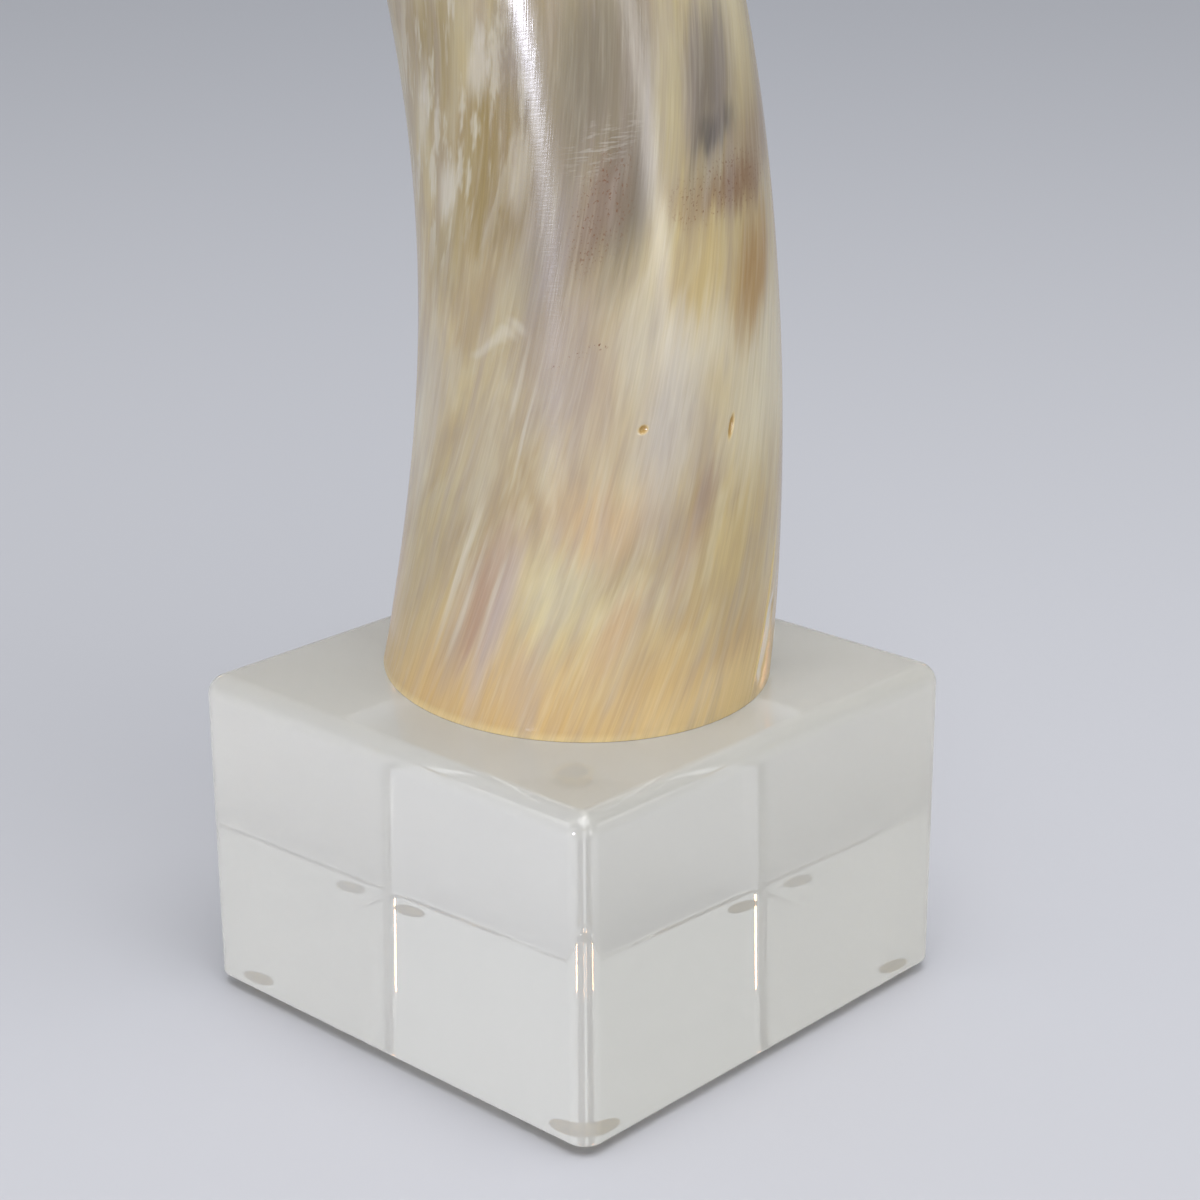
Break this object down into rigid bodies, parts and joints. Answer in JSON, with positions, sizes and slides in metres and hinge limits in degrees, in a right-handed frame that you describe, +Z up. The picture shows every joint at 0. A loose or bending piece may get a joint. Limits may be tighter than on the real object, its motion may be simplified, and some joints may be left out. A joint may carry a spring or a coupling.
{
  "type": "horn on acrylic stand",
  "caption": "Polished longhorn steer horn, flat at its foot and curving up to a rounded tip, standing on a clear square acrylic block with clear bumper feet.",
  "frame": {"origin": "on the table under the middle of the block, where the middle foot touches it", "axes": "+Z up; the block's sides lie along X and Y; the horn leans towards -X"},
  "size_m": [0.3333, 0.1531, 0.8184],
  "materials": {
    "horn": "satin",
    "acrylic": "gloss",
    "clear_foot": "gloss"
  },
  "bodies": {
    "root": {"horn": "horn", "acrylic_block": "acrylic", "foot_front_left": "clear_foot", "foot_front_right": "clear_foot", "foot_back_right": "clear_foot", "foot_back_left": "clear_foot", "foot_middle": "clear_foot"}
  },
  "joints": []
}
